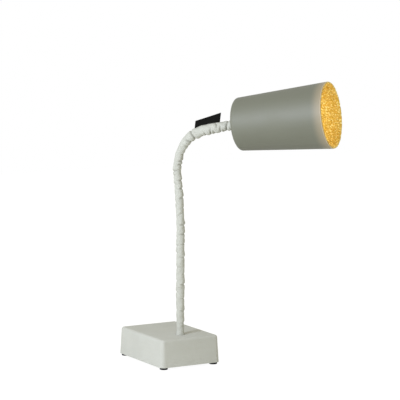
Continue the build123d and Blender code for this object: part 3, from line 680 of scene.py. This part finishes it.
def finished_piece(name, bm, slot):
    """Turns a bmesh into a smooth object that takes a slot's finish."""
    mesh = bpy.data.meshes.new(name)
    bm.to_mesh(mesh)
    bm.free()
    for face in mesh.polygons:
        face.use_smooth = True
    mesh.materials.append(FINISHES[slot])
    piece = bpy.data.objects.new(name, mesh)
    bpy.context.scene.collection.objects.link(piece)
    return piece


def add_thickness(piece, thickness, offset):
    wall = piece.modifiers.new("thickness", "SOLIDIFY")
    wall.thickness = thickness
    wall.offset = offset


# Sleeve
def smooth_step(share):
    share = min(max(share, 0), 1)
    return share * share * (3 - 2 * share)


def arm_share(length):
    """0 on the upright post, growing to 1 on the arm."""
    return smooth_step((length / NECK_LENGTH - ARM_START_SHARE) / ARM_GROWTH_SHARE)


def all_creases():
    """The creases that the photo's side shows, and smaller ones on the other side."""
    chance = random.Random(BACK_CREASE_SEED)
    back = []
    for number in range(BACK_CREASE_COUNT):
        share = (number + chance.uniform(*BACK_CREASE_PLACES)) / BACK_CREASE_COUNT
        depth = chance.uniform(*BACK_CREASE_DEPTHS) + BACK_CREASE_ARM_DEPTH * arm_share(share * NECK_LENGTH)
        centre = chance.uniform(*BACK_CREASE_ANGLES)
        reach = chance.uniform(*BACK_CREASE_REACHES)
        back.append((share, centre, reach, depth, chance.uniform(*BACK_CREASE_TILTS)))
    return CREASES + tuple(back)


SLEEVE_CREASES = all_creases()


def crease_at(length, angle):
    """How deep the creases cut and how far the cloth folds over above them at a place, as shares."""
    valley = 0
    fold = 0
    for number, (share, centre, reach, depth, tilt) in enumerate(SLEEVE_CREASES):
        turn = angle - math.radians(centre)
        wander = noise.noise(Vector((math.cos(angle), math.sin(angle), number * CREASE_NOISE_STEP)))
        slant = CREASE_TILT * (tilt * math.sin(turn) + CREASE_WANDER_SHARE * wander)
        off = length - share * NECK_LENGTH - slant
        if abs(off) > FOLD_REACH:
            continue
        apart = abs(math.atan2(math.sin(turn), math.cos(turn)))
        held = depth * smooth_step(CREASE_FADE * (1 - apart / math.radians(reach)))
        valley = max(valley, held * math.exp(-abs(off / CREASE_WIDTH) ** CREASE_SHARPNESS))
        risen = off / FOLD_OVERHANG if off > 0 else -off / FOLD_FOOT
        fold_share = 1 if off > 0 else FOLD_FOOT_SHARE
        fold = max(fold, fold_share * min(held, 1) * risen * math.exp(1 - risen))
    return valley, fold


def hull_sides(length):
    """How far the smooth sleeve lies from the neck's line on its outer and its inner side."""
    share = length / NECK_LENGTH
    for (low, low_outer, low_inner), (high, high_outer, high_inner) in zip(SLEEVE_HULL, SLEEVE_HULL[1:]):
        if share <= high:
            along = smooth_step((share - low) / (high - low))
            outer = low_outer + (high_outer - low_outer) * along
            return outer, low_inner + (high_inner - low_inner) * along
    return SLEEVE_HULL[-1][1:]


def hull_radius(length, angle):
    """The smooth sleeve as a round tube that hangs off the neck's line."""
    outer, inner = hull_sides(length)
    middle = (outer + inner) / 2
    drop = (inner - outer) / 2
    return math.sqrt(middle**2 - (drop * math.sin(angle)) ** 2) - drop * math.cos(angle)


def lump_at(length, angle):
    """Soft uneven swelling that winds round the sleeve."""
    slant = angle - length / LUMP_TWIST
    return noise.noise(Vector((math.cos(slant), math.sin(slant), length / LUMP_LENGTH)))


def wrinkle_at(length, angle):
    """Fine sharp wrinkles."""
    twist = angle + length / WRINKLE_TWIST
    across = WRINKLES_AROUND * Vector((math.cos(twist), math.sin(twist), 0))
    return abs(noise.noise(across + UP * length / WRINKLE_LENGTH)) * 2 - 0.5


def sleeve_radius(length, angle, valley, fold):
    radius = hull_radius(length, angle) + FOLD_HEIGHT * fold
    radius += LUMP_HEIGHT * lump_at(length, angle) + WRINKLE_HEIGHT * wrinkle_at(length, angle)
    depth = CREASE_DEPTH * (1 + CREASE_ARM_SHARE * arm_share(length))
    return max(radius - depth * valley, LEAST_RADIUS)


def hem(length):
    """1 on the sleeve, falling to 0 where its two ends turn in."""
    from_end = min(length - SLEEVE_START, NECK_LENGTH - SLEEVE_END_GAP - length)
    inward = 1 - min(max(from_end / HEM_LENGTH, 0), 1)
    return math.sqrt(1 - inward * inward)


def sleeve_tube():
    """The whole sleeve as one tube, with each vertex's ring, share of painted crease shade and normal kept on it.
    """
    bm = bmesh.new()
    bm.loops.layers.uv.new("UVMap")
    bmesh.ops.create_grid(bm, x_segments=RING_COUNT, y_segments=AROUND_COUNT, size=0.5, calc_uvs=True)
    ring_layer = bm.verts.layers.int.new("ring")
    crease_shade_layer = bm.verts.layers.float.new("crease_shade")
    normal_layer = bm.verts.layers.float_vector.new("whole_normal")
    span = NECK_LENGTH - SLEEVE_END_GAP - SLEEVE_START
    for vert in bm.verts:
        along = vert.co.x + 0.5
        length = SLEEVE_START + along * span
        angle = 2 * math.pi * (vert.co.y + 0.5)
        valley, fold = crease_at(length, angle)
        radius = HEM_RADIUS + (sleeve_radius(length, angle, valley, fold) - HEM_RADIUS) * hem(length)
        point, direction, outward = neck_place(length)
        vert[ring_layer] = round(along * RING_COUNT)
        # Share of painted shade in the crease at this vertex
        vert[crease_shade_layer] = min(valley / DEEPEST_CREASE, 1) ** CREASE_DARKENING
        vert.co = point + (outward * math.cos(angle) + SIDE * math.sin(angle)) * radius
    bmesh.ops.remove_doubles(bm, verts=bm.verts, dist=MERGE_DISTANCE)
    bmesh.ops.recalc_face_normals(bm, faces=bm.faces)
    bm.normal_update()
    for vert in bm.verts:
        vert[normal_layer] = vert.normal
    return bm


def ring_at(length):
    return round((length - SLEEVE_START) / (NECK_LENGTH - SLEEVE_END_GAP - SLEEVE_START) * RING_COUNT)


def sleeve_length(tube, number, first_ring, last_ring):
    """One length of the sleeve, cut from the whole tube between two rings."""
    bm = tube.copy()
    ring_layer = bm.verts.layers.int["ring"]
    spare = [vert for vert in bm.verts if not first_ring <= vert[ring_layer] <= last_ring]
    bmesh.ops.delete(bm, geom=spare, context="VERTS")
    piece = finished_piece(f"gathered_sleeve_{number}", bm, "sleeve_cloth")
    normals = [tuple(kept.vector) for kept in piece.data.attributes["whole_normal"].data]
    piece.data.normals_split_custom_set_from_vertices(normals)
    for name in ("whole_normal", "ring"):
        piece.data.attributes.remove(piece.data.attributes[name])
    return piece


def make_sleeve():
    """The sleeve in nine lengths, one at each joint of the neck."""
    tube = sleeve_tube()
    middles = [(low + high) / 2 for low, high in zip(JOINT_LENGTHS, JOINT_LENGTHS[1:])]
    cuts = [0] + [ring_at(middle) for middle in middles] + [RING_COUNT]
    for index, joint in enumerate(JOINT_LENGTHS):
        piece = sleeve_length(tube, index + 1, cuts[index], cuts[index + 1])
        bend_across(piece, index)
        replaced = [f"sleeve_{index + 1}"]
        if index == len(JOINT_LENGTHS) - 1:
            replaced.append(f"sleeve_{index + 2}")
        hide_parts(*replaced)
    tube.free()


# Tab
def tab_profile(step, height):
    """Height up the tab and distance from its middle plane, going up one side and down the other."""
    fold_start = TAB_RISE_STEPS
    fold_end = fold_start + TAB_FOLD_STEPS
    top = height - TAB_FOLD_RADIUS
    if step <= fold_start:
        return top * step / fold_start, TAB_FOLD_RADIUS
    if step >= fold_end:
        return top * (fold_end + TAB_RISE_STEPS - step) / TAB_RISE_STEPS, -TAB_FOLD_RADIUS
    angle = math.pi * (step - fold_start) / TAB_FOLD_STEPS
    return top + TAB_FOLD_RADIUS * math.sin(angle), TAB_FOLD_RADIUS * math.cos(angle)


def sewn_place(length):
    """The place on the sleeve's outer side where the tab is sewn on."""
    point, direction, outward = neck_place(length)
    return point + outward * TAB_LIFT


def make_tab():
    """A black ribbon folded over along its top edge and sewn to the top of the sleeve."""
    bm = bmesh.new()
    bm.loops.layers.uv.new("UVMap")
    profile_steps = 2 * TAB_RISE_STEPS + TAB_FOLD_STEPS
    bmesh.ops.create_grid(bm, x_segments=TAB_STEPS, y_segments=profile_steps, size=0.5, calc_uvs=True)
    heading = math.radians(TAB_HEADING)
    rise = REACH * math.cos(heading) + UP * math.sin(heading)
    low_end = sewn_place(TAB_START_SHARE * NECK_LENGTH)
    high_end = sewn_place(TAB_START_SHARE * NECK_LENGTH + TAB_LENGTH)
    for vert in bm.verts:
        along = vert.co.x + 0.5
        height = TAB_HEIGHT + TAB_FLARE * along
        risen, aside = tab_profile(round((vert.co.y + 0.5) * profile_steps), height)
        bow = TAB_BOW * risen / height * math.sin(2 * math.pi * TAB_BOW_TURNS * along + TAB_BOW_START)
        vert.co = low_end.lerp(high_end, along) + rise * risen + SIDE * (aside + bow)
    bmesh.ops.recalc_face_normals(bm, faces=bm.faces)
    piece = finished_piece("cloth_tab", bm, "tab_cloth")
    add_thickness(piece, TAB_CLOTH, 0)
    bend_across(piece, -1)
    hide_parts("sleeve_tab")


# Shade
def wall_radius(height):
    """The shade's outside radius at a height above its back."""
    return SHADE_BACK_RADIUS + (SHADE_MOUTH_RADIUS - SHADE_BACK_RADIUS) * height / SHADE_LENGTH


def section_corners(bm, points):
    """Vertices of a half section of the shade, from radius and height above its back."""
    return [bm.verts.new(SHADE_BACK + SHADE_AXIS * height + SIDE * radius) for radius, height in points]


def spin_round_shade(bm, steps):
    """Spins a half section round the shade's axis into a closed surface."""
    section = list(bm.verts) + list(bm.edges)
    turn = 2 * math.pi
    bmesh.ops.spin(
        bm, geom=section, cent=SHADE_BACK, axis=SHADE_AXIS, angle=turn, steps=steps, use_merge=True
    )
    bmesh.ops.remove_doubles(bm, verts=bm.verts, dist=MERGE_DISTANCE)
    bmesh.ops.recalc_face_normals(bm, faces=bm.faces)


def make_shell():
    """The shade's painted shell: its half section with rounded corners, spun round its axis."""
    bm = bmesh.new()
    section = (
        (SHADE_HOLE, 0),
        (SHADE_BACK_RADIUS, 0),
        (SHADE_MOUTH_RADIUS, SHADE_LENGTH),
        (SHADE_MOUTH_RADIUS - SHADE_WALL, SHADE_LENGTH),
        (wall_radius(SHADE_BACK_WALL) - SHADE_WALL, SHADE_BACK_WALL),
        (SHADE_HOLE, SHADE_BACK_WALL),
    )
    roundings = (SHADE_EDGE_ROUND, LIP_ROUND, LIP_ROUND, SHADE_EDGE_ROUND - SHADE_WALL)
    corners = section_corners(bm, section)
    for pair in zip(corners, corners[1:] + corners[:1]):
        bm.edges.new(pair)
    for corner, offset in zip(corners[1:-1], roundings):
        bmesh.ops.bevel(
            bm,
            geom=[corner],
            offset=offset,
            affect="VERTICES",
            segments=ROUND_STEPS,
            profile=0.5,
            material=-1,
        )
    for edge in list(bm.edges):
        if edge.calc_length() > SHADE_CELL:
            bmesh.ops.subdivide_edges(bm, edges=[edge], cuts=round(edge.calc_length() / SHADE_CELL))
    spin_round_shade(bm, SHADE_STEPS)
    piece = finished_piece("painted_shell", bm, "shade_shell")
    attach(piece, "head")
    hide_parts("shade_cup")


# Gold leaf
def leaf_radius(height):
    return wall_radius(height) - LEAF_INSET


def leaf_profile():
    """Radius and height along the leaf: out over the back, round the corner and up the wall."""
    points = []
    floor_edge = leaf_radius(LEAF_FLOOR) - LEAF_CORNER
    floor_steps = round((floor_edge - LEAF_HOLE) / LEAF_CELL)
    for step in range(floor_steps):
        points.append((LEAF_HOLE + (floor_edge - LEAF_HOLE) * step / floor_steps, LEAF_FLOOR))
    for step in range(LEAF_CORNER_STEPS):
        angle = math.pi / 2 * step / LEAF_CORNER_STEPS
        radius = floor_edge + LEAF_CORNER * math.sin(angle)
        points.append((radius, LEAF_FLOOR + LEAF_CORNER * (1 - math.cos(angle))))
    wall_start = LEAF_FLOOR + LEAF_CORNER
    wall_end = SHADE_LENGTH + LEAF_THICKNESS
    wall_steps = round((wall_end - wall_start) / LEAF_CELL)
    for step in range(wall_steps + 1):
        height = wall_start + (wall_end - wall_start) * step / wall_steps
        points.append((leaf_radius(height), height))
    points.append((SHADE_MOUTH_RADIUS - LIP_ROUND, wall_end))
    return points


def crumple(place):
    """Sharp small ridges, as of thin leaf that was pressed into the shade."""
    ridges = 0
    for octave, weight in LEAF_CRUMPLE_OCTAVES:
        ridges += weight * (1 - 2 * abs(noise.noise(place * octave / LEAF_CRUMPLE_SIZE)))
    return max(ridges, 0)


def make_leaf():
    """The gold leaf as one thin crumpled cup inside the shade."""
    bm = bmesh.new()
    corners = section_corners(bm, leaf_profile())
    for pair in zip(corners, corners[1:]):
        bm.edges.new(pair)
    spin_round_shade(bm, LEAF_STEPS)
    bm.normal_update()
    centre = SHADE_BACK + SHADE_AXIS * SHADE_LENGTH / 2
    inward = [(centre - vert.co).dot(vert.normal) for vert in bm.verts]
    if sum(inward) < 0:
        bmesh.ops.reverse_faces(bm, faces=bm.faces)
        bm.normal_update()
    shifts = [vert.normal * LEAF_CRUMPLE * crumple(vert.co) for vert in bm.verts]
    for vert, shift in zip(bm.verts, shifts):
        vert.co += shift
    piece = finished_piece("crumpled_leaf", bm, "gold_leaf")
    add_thickness(piece, LEAF_THICKNESS, 1)
    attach(piece, "head")
    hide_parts("shade_lining")


# Stage
def seen_rays(tree):
    """1 for rays from the camera, in a mirror or through glass, and 0 for light on the object."""
    path = add_node(tree, "ShaderNodeLightPath").outputs
    seen = combine(tree, "MAXIMUM", path["Is Camera Ray"], path["Is Glossy Ray"])
    return combine(tree, "MAXIMUM", seen, path["Is Transmission Ray"])


def make_world():
    world = bpy.data.worlds.new("studio")
    bpy.context.scene.world = world
    world.use_nodes = True
    tree = world.node_tree
    seen = seen_rays(tree)
    strength = remap(tree, seen, 0, 1, AMBIENT_STRENGTH, BACKDROP_STRENGTH)
    colour = blend_colours(tree, seen, AMBIENT_COLOUR, WHITE)
    join(tree, tree.nodes["Background"], Strength=strength, Color=colour)


def floor_finish():
    """Pale floor that shows as the white backdrop and keeps a faint shadow."""
    made, tree, shader = start_material("studio_floor", Base_Color=FLOOR_COLOUR, Roughness=FLOOR_ROUGHNESS)
    glow = add_node(tree, "ShaderNodeEmission", {"Color": WHITE, "Strength": FLOOR_GLOW})
    share = combine(tree, "MULTIPLY", seen_rays(tree), FLOOR_GLOW_SHARE)
    inputs = {0: share, 1: shader.outputs["BSDF"], 2: glow.outputs["Emission"]}
    mixed = add_node(tree, "ShaderNodeMixShader", inputs)
    join(tree, tree.nodes["Material Output"], Surface=mixed.outputs["Shader"])
    return made


def make_floor():
    bm = bmesh.new()
    bmesh.ops.create_grid(bm, x_segments=1, y_segments=1, size=FLOOR_SIZE / 2)
    mesh = bpy.data.meshes.new("floor")
    bm.to_mesh(mesh)
    bm.free()
    mesh.materials.append(floor_finish())
    floor = bpy.data.objects.new("floor", mesh)
    bpy.context.scene.collection.objects.link(floor)


def make_key_light():
    lamp = bpy.data.lights.new("key", "AREA")
    lamp.shape = "DISK"
    lamp.size = KEY_SIZE
    lamp.energy = KEY_POWER
    lamp.color = KEY_COLOUR
    key = bpy.data.objects.new("key", lamp)
    bpy.context.scene.collection.objects.link(key)
    direction = KEY_DIRECTION.normalized()
    key.location = CAMERA_TARGET + direction * KEY_DISTANCE
    key.rotation_euler = direction.to_track_quat("Z", "Y").to_euler()


def make_camera():
    azimuth = math.radians(CAMERA_AZIMUTH)
    elevation = math.radians(CAMERA_ELEVATION)
    level = Vector((math.sin(azimuth), -math.cos(azimuth), 0))
    back = level * math.cos(elevation) + UP * math.sin(elevation)
    lens = bpy.data.cameras.new("camera")
    lens.lens = CAMERA_LENS
    lens.sensor_width = CAMERA_SENSOR
    camera = bpy.data.objects.new("camera", lens)
    bpy.context.scene.collection.objects.link(camera)
    camera.rotation_euler = back.to_track_quat("Z", "Y").to_euler()
    camera.location = CAMERA_TARGET + back * CAMERA_DISTANCE
    bpy.context.scene.camera = camera


bpy.context.scene.view_settings.view_transform = "Standard"
dress_frame()
make_sleeve()
make_tab()
make_shell()
make_leaf()
make_world()
make_floor()
make_key_light()
make_camera()
